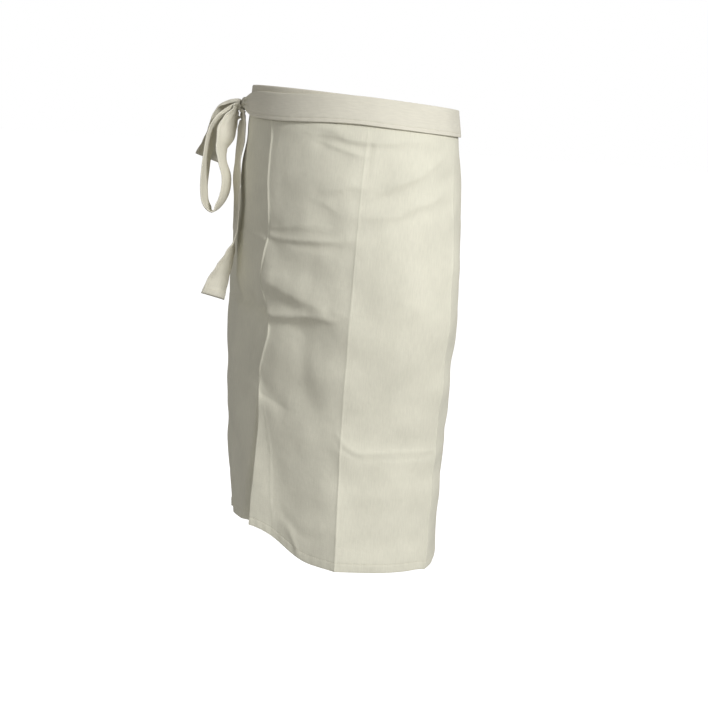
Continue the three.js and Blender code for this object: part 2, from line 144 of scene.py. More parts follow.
# Apron panel: one sheet of cotton twill, 78 by 58 cm, that hangs from the waistband and goes round the hips.
# It was folded for its packing, so pressed creases run down it every 133 mm and across it, and its side
# and bottom edges are hems turned to the inside and sewn with one row of stitches.
CLOTH_WIDTH = 780
CLOTH_LENGTH = 580
CLOTH_WALL = 0.9
HEM_FOLD = 0.9
BOTTOM_HEM = 12
SIDE_HEM = 9
CREASE_PITCH = 133
WAIST_HALF_WIDTH = 138
WAIST_HALF_DEPTH = 122
WAIST_TILT = 6
MIDDLE_PLACE = 63
HEM_RISE = 30
BAND_HEIGHT = 32
BAND_SEAM = 3
RIGHT_EDGE = MIDDLE_PLACE - CLOTH_WIDTH / 2
LEFT_EDGE = MIDDLE_PLACE + CLOTH_WIDTH / 2
BAND_TOP = BAND_HEIGHT / 2
FRONT_CREASE = MIDDLE_PLACE - CREASE_PITCH / 2
SIDE_CREASE = MIDDLE_PLACE + CREASE_PITCH / 2

# The form under the cloth by level, as shares of the waist's half width and half depth
BODY_LEVEL = [0.0, 0.2, 0.42, 0.7, 1.0]
BODY_WIDTH = [1.0, 1.16, 1.31, 1.22, 1.13]
BODY_DEPTH = [1.0, 1.03, 1.01, 1.07, 1.14]
BODY_SIDE = [-0.015, 0.01, 0.01, -0.09, -0.06]
BODY_BACK = [-0.015, -0.03, -0.04, 0.06, 0.09]
BODY_FLAT = [0.0, 0.05, 0.4, 0.28, 0.66]
WANDER_LEVEL = [0.0, 0.1, 0.18, 0.26, 0.31, 0.34, 0.38, 0.41, 0.44, 0.46, 0.5, 0.52, 0.545, 0.58, 0.64, 0.67, 0.7,
                0.76, 0.8, 0.9, 1.0]
WANDER_SHIFT = [-0.035, -0.026, -0.012, 0.007, 0.0, -0.005, -0.034, -0.053, -0.037, 0.0, 0.045, 0.09, 0.112, 0.087,
                0.028, 0.02, 0.044, 0.05, 0.047, 0.03, 0.01]


def ease(low, high, value):
    """The smooth step 3t squared less 2t cubed, where t goes from 0 at low to 1 at high."""
    t = np.clip((value - low) / (high - low), 0, 1)
    return t * t * (3 - 2 * t)


def mix(low, high, share):
    """The straight blend of two values."""
    return low + (high - low) * share


def row_value(levels, values, level):
    """A cubic curve through the rows, whose slope at a row is the rise between its two neighbours."""
    levels, values = np.array(levels, float), np.array(values, float)
    slope = np.gradient(values)
    reach = np.gradient(levels)
    slope = slope / reach
    low = np.clip(np.searchsorted(levels, level, side="right") - 1, 0, len(levels) - 2)
    span = levels[low + 1] - levels[low]
    u = np.clip((level - levels[low]) / span, 0, 1)
    bend = u * (1 - u)
    lean = bend * (1 - u) * slope[low] - bend * u * slope[low + 1]
    return mix(values[low], values[low + 1], u * u * (3 - 2 * u)) + span * lean


RING_LEVELS = 121
RING_STEPS = 720
ring_level = np.linspace(0, 1, RING_LEVELS)[:, None]
ring_turn = np.linspace(0, 2 * np.pi, RING_STEPS + 1)
ring_x = WAIST_HALF_WIDTH * row_value(BODY_LEVEL, BODY_WIDTH, ring_level) * np.sin(ring_turn)
ring_y = WAIST_HALF_DEPTH * row_value(BODY_LEVEL, BODY_DEPTH, ring_level) * np.cos(ring_turn)
ring_length = np.cumsum(np.hypot(np.diff(ring_x, axis=1), np.diff(ring_y, axis=1)), axis=1)
ring_length = np.hstack([np.zeros((RING_LEVELS, 1)), ring_length])
ring_girth = ring_length[:, -1]
ring_shift = np.array([
    np.interp(ring_turn / (2 * np.pi) * length[-1], length, ring_turn) - ring_turn for length in ring_length
])
WAIST_GIRTH = ring_girth[0]


def girth_at(level):
    """The length round the body at a level."""
    return np.interp(level, ring_level[:, 0], ring_girth)


def ring_point(place, level):
    """The point of the body's ellipse at a length along it from the front: the angle that has this length is
    the even angle plus a small shift, looked up between the nearest levels and lengths."""
    place, level = np.broadcast_arrays(np.asarray(place, float), np.asarray(level, float))
    share = (place / girth_at(level)) % 1.0
    row = np.clip(level, 0, 1) * (RING_LEVELS - 1)
    column = share * RING_STEPS
    i = np.clip(row.astype(int), 0, RING_LEVELS - 2)
    j = np.clip(column.astype(int), 0, RING_STEPS - 1)
    f, g = row - i, column - j
    shift = mix(mix(ring_shift[i, j], ring_shift[i, j + 1], g),
                mix(ring_shift[i + 1, j], ring_shift[i + 1, j + 1], g), f)
    angle = share * 2 * np.pi + shift
    half_width = WAIST_HALF_WIDTH * row_value(BODY_LEVEL, BODY_WIDTH, level)
    half_depth = WAIST_HALF_DEPTH * row_value(BODY_LEVEL, BODY_DEPTH, level)
    x = WAIST_HALF_WIDTH * row_value(BODY_LEVEL, BODY_SIDE, level) + half_width * np.sin(angle)
    y = WAIST_HALF_DEPTH * row_value(BODY_LEVEL, BODY_BACK, level) - half_depth * np.cos(angle)
    return np.stack([x, y], -1)


def crease_place(count, level):
    """The place of a pressed crease: the front one wanders a little along the cloth, the others run straight."""
    wander = CREASE_PITCH * row_value(WANDER_LEVEL, WANDER_SHIFT, level)
    return FRONT_CREASE + count * CREASE_PITCH + np.where(count == 0, wander, 0)


def cloth_plan(place, level):
    """The ring's point, drawn by a share of flatness towards the chord between the two creases beside it."""
    place, level = np.broadcast_arrays(np.asarray(place, float), np.asarray(level, float))
    count = np.floor((place - FRONT_CREASE) / CREASE_PITCH)
    count = np.where(place < crease_place(count, level), count - 1, count)
    count = np.where(place >= crease_place(count + 1, level), count + 1, count)
    start, stop = crease_place(count, level), crease_place(count + 1, level)
    share = ((place - start) / (stop - start))[..., None]
    facet = mix(ring_point(start, level), ring_point(stop, level), share)
    flat = row_value(BODY_LEVEL, BODY_FLAT, level)[..., None]
    return mix(ring_point(place, level), facet, flat)


def wrapped(place, level):
    """A place past the left edge goes on over the gap at the back, and meets the right edge after it."""
    share = (place - LEFT_EDGE) / (RIGHT_EDGE + WAIST_GIRTH - LEFT_EDGE)
    over = mix(LEFT_EDGE, RIGHT_EDGE + girth_at(level), share)
    past = np.where(place >= RIGHT_EDGE + WAIST_GIRTH, place - WAIST_GIRTH, over)
    return np.where(place <= LEFT_EDGE, place, past)


def top_height(place):
    """The waistband's top edge: a plane that tilts down to the back left."""
    point = ring_point(place, 0.0)
    return BAND_TOP - WAIST_TILT * (point[..., 0] / WAIST_HALF_WIDTH + point[..., 1] / WAIST_HALF_DEPTH)


def cloth_drop(place):
    """The drop from that edge to the bottom hem, which is least at the front crease."""
    front = 1 - ease(FRONT_CREASE, SIDE_CREASE - CREASE_PITCH / 4, place)
    right = 1 - ease(0, CREASE_PITCH, FRONT_CREASE - place) / 2
    return CLOTH_LENGTH - HEM_RISE * front * right


def plan_normal(place, level):
    """The level direction away from the body, square to the cloth's plan."""
    along = cloth_plan(place + 1, level) - cloth_plan(place - 1, level)
    out = np.stack([along[..., 1], -along[..., 0], np.zeros(along.shape[:-1])], -1)
    return out / np.linalg.norm(out, axis=-1, keepdims=True)


def cloth_point(place, depth, off):
    """A point at a place and a depth below the top edge, off the cloth's middle along its plan normal."""
    place, depth, off = np.broadcast_arrays(*[np.asarray(v, float) for v in (place, depth, off)])
    level = depth / cloth_drop(wrapped(place, 0.0))
    around = wrapped(place, level)
    flat = cloth_plan(around, level)
    point = np.stack([flat[..., 0], flat[..., 1], top_height(place) - depth], -1)
    return point + plan_normal(around, level) * off[..., None]


# Broad folds of the hanging cloth: two ends as (place in pitches from the middle, level), the reach in
# pitches, and the height in pitches at either end, which is negative where the cloth goes in
BROAD_FOLDS = {
    "upper cross crease": ((-1.1, 0.32), (0.45, 0.318), 0.1, -0.012, -0.02),
    "hip cross crease": ((-1.2, 0.47), (-0.5, 0.505), 0.1, -0.021, -0.035),
    "front cross crease": ((-0.5, 0.505), (0.3, 0.485), 0.1, -0.008, -0.006),
    "belly sag": ((-0.55, 0.42), (0.05, 0.462), 0.11, -0.005, -0.008),
    "lower cross crease": ((-0.5, 0.655), (-0.2, 0.69), 0.1, -0.02, -0.01),
    "knee cross crease": ((0.5, 0.735), (1.5, 0.745), 0.09, 0.008, 0.008),
    "waist drag": ((0.1, 0.1), (1.3, 0.085), 0.09, -0.0132, -0.022),
    "hip drag": ((0.5, 0.215), (1.4, 0.145), 0.09, -0.011, -0.022),
    "low drag": ((0.5, 0.265), (1.4, 0.2), 0.09, -0.012, -0.02),
    "right flank": ((-1.55, 0.75), (-1.55, 1.02), 0.4, -0.006, -0.06),
    "side recess": ((1.4, 0.8), (1.4, 1.02), 0.1, -0.0075, -0.025),
    "low hollow": ((-0.06, 0.8), (-0.06, 1.02), 0.33, -0.02, -0.055),
}


def line_distance(place, level, start, stop):
    """How far a point of the cloth is from a line on it, the share along the line, and the side of it:
    positive below the line."""
    ends = [np.array([MIDDLE_PLACE + p * CREASE_PITCH, l * CLOTH_LENGTH]) for p, l in (start, stop)]
    line = ends[1] - ends[0]
    x, y = place - ends[0][0], level * CLOTH_LENGTH - ends[0][1]
    share = np.clip((x * line[0] + y * line[1]) / (line @ line), 0, 1)
    away = np.hypot(x - share * line[0], y - share * line[1])
    return away, share, np.sign(line[0] * y - line[1] * x)


def broad_relief(place, level):
    """The sum over the broad folds of height times exp(-(distance/reach) squared)."""
    total = np.zeros(np.broadcast(place, level).shape)
    for start, stop, reach, first, last in BROAD_FOLDS.values():
        away, share, _ = line_distance(place, level, start, stop)
        total += CREASE_PITCH * mix(first, last, share) * np.exp(-((away / (reach * CREASE_PITCH)) ** 2))
    return total


# Fine pressed creases: points as (place in pitches from the middle, level, height in mm), the width in mm above
# and below the line, the softness, from 1, a knife crease, to 2, and the part of the cloth that it is on: 1 left
# of the front crease, -1 right of it, 0 both
FINE_CREASES = {
    "upper cross, right": ([(-1.1, 0.328, 1.3), (-0.83, 0.329, 1.8), (-0.63, 0.335, 2.4), (-0.5, 0.338, 2.2)],
                           6, 5, 1.3, -1),
    "upper cross, first": ([(-0.53, 0.307, 0.9), (-0.35, 0.306, 1.0), (-0.09, 0.286, 1.7), (0.12, 0.276, 1.7),
                            (0.33, 0.275, 0.4)], 9, 3, 1.2, 1),
    "upper cross, main": ([(-0.55, 0.327, 2.6), (-0.33, 0.328, 3.4), (-0.09, 0.316, 4.0), (0.09, 0.306, 3.8),
                           (0.26, 0.299, 2.4), (0.36, 0.298, 0.8), (0.49, 0.289, 0.3)], 9, 3.2, 1.2, 1),
    "upper cross, low": ([(-0.3, 0.341, 0.3), (0.03, 0.333, 0.9), (0.44, 0.319, 0.6)], 8, 8, 1.6, 1),
    "belly line": ([(-0.52, 0.403, -0.5), (-0.26, 0.395, -0.45), (0.03, 0.384, -0.3), (0.28, 0.378, -0.2)],
                   2.2, 2.2, 1.2, 1),
    "belly fold": ([(-0.56, 0.427, 2.2), (-0.42, 0.431, 5.2), (-0.22, 0.434, 7.8), (-0.06, 0.434, 7.2),
                    (0.1, 0.432, 4.8), (0.28, 0.441, 1.0)], 26, 10.5, 1.8, 1),
    "hip cross, middle": ([(-0.55, 0.502, 5.4), (-0.34, 0.502, 6.2), (-0.13, 0.484, 6.2), (0.03, 0.468, 5.6),
                           (0.23, 0.457, 4.0), (0.31, 0.46, 2.2), (0.5, 0.446, 0.3)], 12, 5, 1.5, 1),
    "hip cross, right": ([(-1.26, 0.484, -2.2), (-0.73, 0.492, -3.2), (-0.4, 0.508, -4.4)], 22, 3.5, 1.2, -1),
    "side nick": ([(0.519, 0.33, 0.5), (0.53, 0.35, 0.7), (0.526, 0.372, 0.4)], 2.5, 2.5, 1.2, 0),
    "low cross, middle": ([(-0.41, 0.691, -1.8), (-0.2, 0.692, -1.0), (-0.02, 0.686, -0.3)], 9, 5, 1.3, 1),
    "knee cross": ([(0.45, 0.7, 0.9), (0.54, 0.72, 1.3), (0.66, 0.735, 1.2), (0.97, 0.728, 1.0),
                    (1.47, 0.726, 0.8)], 2.5, 2, 1.1, 0),
    "knee cross, second": ([(0.52, 0.733, -0.8), (0.68, 0.749, -0.7), (0.97, 0.742, -0.6), (1.4, 0.74, -0.5)],
                           3, 2.2, 1.1, 0),
    "low cross, left": ([(0.47, 0.652, -0.5), (0.75, 0.655, -0.3), (1.1, 0.652, -0.1)], 3, 2.5, 1.2, 0),
    "edge drag": ([(0.0, 0.07, 0.8), (0.1, 0.071, 1.6), (0.22, 0.075, 1.4), (0.29, 0.082, 0.4)], 7, 3, 1.3, 0),
    "first drag": ([(-0.02, 0.088, 0.4), (0.11, 0.086, 1.2), (0.23, 0.085, 2.0), (0.35, 0.091, 2.6),
                    (0.45, 0.091, 2.6), (0.55, 0.091, 1.9), (0.76, 0.087, 1.4), (0.86, 0.081, 1.1),
                    (1.0, 0.075, 0.9), (1.12, 0.062, 0.6)], 12, 3, 1.3, 0),
    "second drag": ([(0.06, 0.1, 0.5), (0.18, 0.106, 1.6), (0.26, 0.109, 2.1), (0.36, 0.114, 2.0),
                     (0.43, 0.117, 1.4), (0.5, 0.12, 0.5)], 7, 3, 1.3, 0),
    "belly press": ([(0.548, 0.094, -1.0), (0.536, 0.122, -1.0), (0.54, 0.162, -0.5)], 1.8, 1.8, 1.2, 0),
    "third drag": ([(0.12, 0.202, 0.3), (0.24, 0.196, 1.2), (0.32, 0.191, 1.7), (0.37, 0.184, 1.7),
                    (0.43, 0.182, 1.4), (0.54, 0.184, 0.8)], 9, 3, 1.3, 0),
    "fourth drag": ([(0.06, 0.222, 0.6), (0.17, 0.224, 1.2), (0.23, 0.229, 1.1), (0.3, 0.239, 0.4)],
                    8, 4, 1.4, 0),
    "hip drag": ([(0.6, 0.2, 0.8), (0.68, 0.188, 1.5), (0.79, 0.173, 2.1), (0.9, 0.16, 2.5), (1.0, 0.149, 2.5),
                  (1.08, 0.138, 2.2), (1.16, 0.124, 2.0), (1.3, 0.105, 1.4)], 15, 3.2, 1.25, 0),
    "low drag": ([(0.65, 0.241, 0.8), (0.82, 0.234, 1.4), (0.92, 0.225, 1.8), (1.01, 0.208, 2.1),
                  (1.16, 0.199, 2.0), (1.3, 0.18, 1.3)], 13, 3.4, 1.25, 0),
    "thigh hollow": ([(-0.02, 0.51, -1.6), (0.07, 0.58, -1.5), (0.14, 0.645, -1.2)], 15, 15, 2, 1),
    "side hollow": ([(1.41, 0.8, -1.5), (1.3, 0.86, -1.7), (1.25, 0.9, -1.9), (1.26, 0.93, -2.0)], 14, 14, 2, 0),
    "hem wrinkle": ([(-0.02, 0.95, 1.3), (0.06, 0.975, 1.2), (0.1, 0.99, 0.8)], 4, 4, 1.4, 1),
    "hem hollow": ([(-0.1, 0.93, -1.3), (0.2, 0.945, -1.1), (0.4, 0.93, -0.9)], 9, 7, 1.6, 1),
}


def fine_relief(place, level):
    """The sum over the fine creases of height times exp(-(distance/width) to the power of its softness). A
    crease of several lines takes the nearest one. A crease of one part of the cloth ends at the front crease."""
    total = np.zeros(np.broadcast(place, level).shape)
    past_front = place - crease_place(0, level)
    for points, wide_above, wide_below, soft, part in FINE_CREASES.values():
        nearest = np.full(total.shape, 1e9)
        height, width = np.zeros(total.shape), np.ones(total.shape)
        for first, last in zip(points[:-1], points[1:]):
            away, share, side = line_distance(place, level, first[:2], last[:2])
            closer = away < nearest
            height = np.where(closer, mix(first[2], last[2], share), height)
            width = np.where(closer, np.where(side > 0, wide_below, wide_above), width)
            nearest = np.minimum(nearest, away)
        shown = ease(0, 5, part * past_front) if part else 1
        total += shown * height * np.exp(-((nearest / width) ** soft))
    return total


# Long pressed creases: the height of each ridge in mm by level, on the creases counted from the front one
RIDGE_LEVEL = [0.0, 0.3, 0.43, 0.5, 0.68, 0.74, 1.0]
RIDGE_HEIGHT = {
    -2: [0.5, 0.5, 0.5, 0.5, 0.5, 0.5, 0.5],
    -1: [0.5, 0.6, 0.6, 0.6, 0.6, 0.6, 0.6],
    0: [1.7, 1.7, 2.5, 1.7, 1.3, 0.0, 0.0],
    1: [0.5, 0.4, 0.4, 0.4, 0.5, 0.9, 0.9],
    2: [0.6, 0.6, 0.6, 0.6, 0.8, 1.0, 1.0],
    3: [0.5, 0.5, 0.5, 0.5, 0.5, 0.5, 0.5],
}
RIDGE_WIDTH = 1.4


def ridges(place, level):
    """The sum over the long creases of height times exp(-distance/width)."""
    total = np.zeros(np.broadcast(place, level).shape)
    for count, heights in RIDGE_HEIGHT.items():
        away = np.abs(place - crease_place(count, level))
        total += np.interp(level, RIDGE_LEVEL, heights) * np.exp(-away / RIDGE_WIDTH)
    return total


# The front crease opens into a pleat towards the hem: by level, the places in pitches where its recess
# starts and of the second crease beyond it, the recess's depth and the lip's height in mm. The lip is the
# front crease itself.
PLEAT_LEVEL = [0.64, 0.7, 0.8, 0.9, 1.0]
PLEAT_START = [-0.5, -0.5, -0.54, -0.64, -0.7]
PLEAT_CREASE = [-0.42, -0.38, -0.27, -0.245, -0.2]
PLEAT_DEPTH = [0.0, 2.0, 6.5, 11.0, 13.0]
PLEAT_LIP = [0.0, 1.5, 3.0, 4.0, 4.5]
PLEAT_WALL = 0.022


def pleat_relief(place, level):
    """A slope down to the foot, a steep wall up to the lip, and a facet that falls to the second crease."""
    at = (place - MIDDLE_PLACE) / CREASE_PITCH
    start, crease, depth, lip = [np.interp(level, PLEAT_LEVEL, row)
                                 for row in (PLEAT_START, PLEAT_CREASE, PLEAT_DEPTH, PLEAT_LIP)]
    foot = (crease_place(0, level) - MIDDLE_PLACE) / CREASE_PITCH
    down = -depth * ease(start, foot, at)
    wall = (depth + lip) * ease(foot, foot + PLEAT_WALL, at)
    facet = -lip * np.clip((at - foot - PLEAT_WALL) / (crease - foot - PLEAT_WALL), 0, 1)
    share = ease(PLEAT_LEVEL[0], 0.76, level)
    ridge = 0.7 * share * np.exp(-np.abs(at - crease) / 0.013)
    return down + wall + facet + ridge


cloth_random = np.random.default_rng(7)
SOFT_WAVES = 26
wave_turn = cloth_random.uniform(0, np.pi, SOFT_WAVES)
wave_length = cloth_random.uniform(26, 110, SOFT_WAVES)
wave_phase = cloth_random.uniform(0, 2 * np.pi, SOFT_WAVES)
SOFT_WAVE_HEIGHT = 0.24


def soft_waves(place, depth):
    """The slight unevenness of washed cotton: a sum of plane sine waves of random direction and phase, each
    as high as its length allows."""
    total = np.zeros(np.broadcast(place, depth).shape)
    for turn, length, phase in zip(wave_turn, wave_length, wave_phase):
        along = place * np.cos(turn) + depth * np.sin(turn)
        total += SOFT_WAVE_HEIGHT * (length / 80) * np.sin(2 * np.pi * along / length + phase)
    return total


def graded(low, high, stops, coarse, fine, reach):
    """Steps from low to high. The spacing is coarse, falls to fine within reach of each stop, and each stop
    is itself a step."""
    x = np.linspace(low, high, 6001)
    density = np.full(x.shape, 1 / coarse)
    for stop in stops:
        density += (1 / fine - 1 / coarse) * np.exp(-(((x - stop) / reach) ** 2))
    count = np.concatenate([[0], np.cumsum((density[1:] + density[:-1]) / 2 * np.diff(x))])
    steps = np.interp(np.linspace(0, count[-1], int(round(count[-1])) + 1), count, x)
    for stop in stops:
        steps[np.abs(steps - stop).argmin()] = stop
    return steps


def sheet_normals(middle):
    """Unit normals of a grid of points: the cross product of its two grid directions."""
    down = np.gradient(middle, axis=0)
    across = np.gradient(middle, axis=1)
    normal = np.cross(down, across)
    return normal / np.maximum(np.linalg.norm(normal, axis=-1, keepdims=True), 1e-9)


def rim(coordinate, low, high, wall):
    """The share of the wall's thickness near the two ends of a grid direction: a half round edge."""
    away = np.minimum(coordinate - low, high - coordinate)
    inside = np.clip(away / (wall / 2), 0, 1)
    return np.sqrt(np.clip(1 - (1 - inside) ** 2, 0, 1))


def add_rims(steps, wall):
    """Extra steps close to both ends, where the edge is rounded."""
    near = np.array([0.12, 0.45, 1.0]) * wall / 2
    return np.unique(np.concatenate([steps, steps[0] + near, steps[-1] - near]))


def cloth_object(name, outer, inner, uv, material):
    """A closed sheet from two grids of points that meet on their borders, with its uv in metres. Faces turn
    from the inner grid to the outer one."""
    rows, columns = outer.shape[:2]
    size = rows * columns
    top = np.arange(size).reshape(rows, columns)
    under = top + size
    for edge in (np.s_[0, :], np.s_[-1, :], np.s_[:, 0], np.s_[:, -1]):
        under[edge] = top[edge]
    quads = [np.stack([g[:-1, :-1], g[1:, :-1], g[1:, 1:], g[:-1, 1:]], -1).reshape(-1, 4) for g in (top, under)]
    points = np.concatenate([outer.reshape(-1, 3), inner.reshape(-1, 3)]) * 0.001
    first = quads[0]
    normal = np.cross(points[first[:, 2]] - points[first[:, 0]], points[first[:, 3]] - points[first[:, 1]])
    away = (points[first] - points[first + size]).mean(axis=1)
    turned = (normal * away).sum() < 0
    faces = np.concatenate([quads[0][:, ::-1], quads[1]] if turned else [quads[0], quads[1][:, ::-1]])
    used, faces = np.unique(faces, return_inverse=True)
    faces = faces.reshape(-1, 4)
    points = points[used]
    both = np.concatenate([uv.reshape(-1, 2), uv.reshape(-1, 2)])[used] * 0.001
    mesh = bpy.data.meshes.new(name)
    mesh.from_pydata(points.tolist(), [], faces.tolist())
    layer = mesh.uv_layers.new(name="cloth")
    layer.data.foreach_set("uv", both[faces.ravel()].ravel())
    mesh.polygons.foreach_set("use_smooth", np.ones(len(faces), bool))
    mesh.materials.append(material)
    piece = bpy.data.objects.new(name, mesh)
    bpy.context.collection.objects.link(piece)
    return piece


def twill_material(name, colour, rib=0.95, shade=0.06):
    """Cotton twill on the piece's own uv: steep diagonal ribs broken by the cross threads, slubs drawn out
    along the warp, soft uneven colour from washing, and a matt nap."""
    material, nodes, links, shader = empty_material(name)
    uv = nodes.new("ShaderNodeUVMap")
    uv.uv_map = "cloth"

    def mapped(turn, stretch=(1, 1, 1)):
        mapping = nodes.new("ShaderNodeMapping")
        mapping.inputs["Rotation"].default_value = (0, 0, np.radians(turn))
        mapping.inputs["Scale"].default_value = stretch
        links.new(uv.outputs["UV"], mapping.inputs["Vector"])
        return mapping.outputs["Vector"]

    def waves(vector, pitch):
        wave = nodes.new("ShaderNodeTexWave")
        wave.inputs["Scale"].default_value = 2 * np.pi / (20 * pitch * 0.001)
        links.new(vector, wave.inputs["Vector"])
        return wave.outputs["Fac"]

    def noise(vector, size, detail=3.0):
        pattern = nodes.new("ShaderNodeTexNoise")
        pattern.inputs["Scale"].default_value = 1000 / size
        pattern.inputs["Detail"].default_value = detail
        links.new(vector, pattern.inputs["Vector"])
        return pattern.outputs["Fac"]

    def combined(operation, a, b, c=None):
        node = nodes.new("ShaderNodeMath")
        node.operation = operation
        for socket, value in zip(node.inputs, (a, b, c)):
            if isinstance(value, (int, float)):
                socket.default_value = value
            elif value is not None:
                links.new(value, socket)
        return node.outputs["Value"]

    ribs = waves(mapped(27), rib)
    threads = waves(mapped(90), rib * 0.62)
    weave = combined("MULTIPLY_ADD", threads, 0.35, ribs)
    slubs = noise(mapped(0, (1, 0.12, 1)), 1.6)
    cloud = noise(mapped(0), 60, 4.0)
    nap = noise(mapped(0), 0.5, 2.0)
    colour_share = combined("MULTIPLY_ADD", slubs, 0.4, combined("MULTIPLY", cloud, 0.6))
    tones = nodes.new("ShaderNodeValToRGB")
    dark, light = [tuple(c * (1 + s * shade) for c in colour) + (1,) for s in (-1, 1)]
    tones.color_ramp.elements[0].position = 0.36
    tones.color_ramp.elements[0].color = dark
    tones.color_ramp.elements[1].position = 0.64
    tones.color_ramp.elements[1].color = light
    links.new(colour_share, tones.inputs["Fac"])
    links.new(tones.outputs["Color"], shader.inputs["Base Color"])
    crumple = noise(mapped(0), 11, 4.0)
    height = combined("MULTIPLY_ADD", nap, 0.5, combined("MULTIPLY_ADD", slubs, 0.4, weave))
    height = combined("MULTIPLY_ADD", crumple, 9.0, height)
    bump = nodes.new("ShaderNodeBump")
    bump.inputs["Strength"].default_value = 0.35
    bump.inputs["Distance"].default_value = 0.00012
    links.new(height, bump.inputs["Height"])
    links.new(bump.outputs["Normal"], shader.inputs["Normal"])
    shader.inputs["Roughness"].default_value = 0.93
    shader.inputs["Specular IOR Level"].default_value = 0.25
    shader.inputs["Sheen Weight"].default_value = 0.12
    shader.inputs["Sheen Roughness"].default_value = 0.5
    return material


twill = twill_material("cream twill", (0.77, 0.755, 0.635))

thread, _, _, thread_shader = empty_material("sewing thread")
thread_shader.inputs["Base Color"].default_value = (0.74, 0.71, 0.59, 1)
thread_shader.inputs["Roughness"].default_value = 0.7
STITCH_PITCH = 2.9
STITCH_LENGTH = 2.4
STITCH_RADIUS = 0.26


def stitch_row(name, lines):
    """A lock stitch seam: along each line of points and outward normals sits one small bead every pitch. A bead
    is three hexagons and two tips, set by its centre, the line's direction and the normal."""
    turn = np.linspace(0, 2 * np.pi, 6, endpoint=False)
    ring = [np.stack([np.full(6, at), r * np.cos(turn), r * np.sin(turn)], -1)
            for at, r in ((-0.34, 0.75), (0, 1.0), (0.34, 0.75))]
    bead = np.concatenate(ring + [np.array([(-0.5, 0, 0), (0.5, 0, 0)])])
    bead *= (STITCH_LENGTH, STITCH_RADIUS, STITCH_RADIUS)
    low, high = np.arange(6), (np.arange(6) + 1) % 6
    shell = [np.stack([low + 6 * k, high + 6 * k, high + 6 * k + 6, low + 6 * k + 6], -1) for k in (0, 1)]
    shell = np.concatenate([np.concatenate([f[:, [0, 1, 2]], f[:, [0, 2, 3]]]) for f in shell])
    caps = np.concatenate([np.stack([high, low, np.full(6, 18)], -1), np.stack([low + 12, high + 12, np.full(6, 19)], -1)])
    template = np.concatenate([shell, caps])
    points, faces = [], []
    for line, normal in lines:
        run = np.concatenate([[0], np.cumsum(np.linalg.norm(np.diff(line, axis=0), axis=1))])
        count = int(run[-1] / STITCH_PITCH)
        at = (np.arange(count) + 0.5) * run[-1] / count
        centre, ahead, behind, out = [
            np.stack([np.interp(x, run, values[:, k]) for k in range(3)], -1)
            for x, values in ((at, line), (at + 0.6, line), (at - 0.6, line), (at, normal))]
        along = ahead - behind
        along /= np.linalg.norm(along, axis=1, keepdims=True)
        out -= along * (out * along).sum(1, keepdims=True)
        out /= np.linalg.norm(out, axis=1, keepdims=True)
        side = np.cross(along, out)
        axes = np.stack([along, out, side], 1)
        placed = (centre + out * STITCH_RADIUS * 0.2)[:, None, :] + np.einsum("pa,nak->npk", bead, axes)
        faces.append(template[None] + (len(bead) * np.arange(count))[:, None, None] + sum(len(q) for q in points))
        points.append(placed.reshape(-1, 3))
    mesh = bpy.data.meshes.new(name)
    mesh.from_pydata((np.concatenate(points) * 0.001).tolist(), [], np.concatenate([f.reshape(-1, 3) for f in faces]).tolist())
    mesh.polygons.foreach_set("use_smooth", np.ones(len(mesh.polygons), bool))
    mesh.materials.append(thread)
    seam = bpy.data.objects.new(name, mesh)
    bpy.context.collection.objects.link(seam)
    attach(seam, "root")
    return seam

HEM_STITCH = 11
SIDE_STITCH = 8
SEAM_DEPTH = 0.3
SEAM_WIDTH = 0.9


def panel_off(place, level):
    """How far the cloth stands off the body's form: broad folds, pleat and soft waves fade out under the
    waistband, creases fade out under the tie, the bottom hem's stitch line is a small groove, and the hem puckers."""
    length = level * CLOTH_LENGTH
    free = ease(BAND_HEIGHT + BAND_SEAM, BAND_HEIGHT * 2, length)
    below_tie = ease(BAND_HEIGHT + BAND_SEAM, BAND_HEIGHT + 11, length)
    broad = broad_relief(place, level) + pleat_relief(place, level) + soft_waves(place, level * cloth_drop(place))
    creases = fine_relief(place, level) + ridges(place, level)
    from_hem = CLOTH_LENGTH - length
    groove = -SEAM_DEPTH * np.exp(-(((from_hem - HEM_STITCH) / SEAM_WIDTH) ** 2))
    pucker = 0.22 * np.sin(place / 1.9 + 1.7 * np.sin(place / 31)) * np.exp(-(((from_hem - 7) / 6) ** 2))
    return free * (broad + pucker) + below_tie * creases + groove


panel_columns = add_rims(graded(
    RIGHT_EDGE, LEFT_EDGE,
    [FRONT_CREASE + n * CREASE_PITCH for n in (-2, -1, 0, 1, 2)]
    + [RIGHT_EDGE + SIDE_HEM, LEFT_EDGE - SIDE_HEM],
    coarse=6.6, fine=0.7, reach=3.5), CLOTH_WALL)
front_zone = [MIDDLE_PLACE + share * CREASE_PITCH for share in (-1.1, 1.6)]
pleat_zone = [MIDDLE_PLACE + share * CREASE_PITCH for share in (-0.72, -0.23)]
panel_columns = np.unique(np.concatenate([panel_columns, np.arange(*front_zone, 5.0), np.arange(*pleat_zone, 2.5)]))
panel_columns = panel_columns[np.concatenate([[True], np.diff(panel_columns) > 0.3])]
panel_rows = add_rims(graded(
    BAND_SEAM, CLOTH_LENGTH,
    [CLOTH_LENGTH * level for level in (0.09, 0.115, 0.155, 0.19, 0.23, 0.3, 0.33, 0.44, 0.475, 0.51, 0.69, 0.735)]
    + [CLOTH_LENGTH - HEM_STITCH],
    coarse=4.6, fine=2.2, reach=9), CLOTH_WALL)
panel_rows = np.unique(np.concatenate([panel_rows, CLOTH_LENGTH - HEM_STITCH + np.array([-1.8, -0.9, 0.9, 1.8])]))

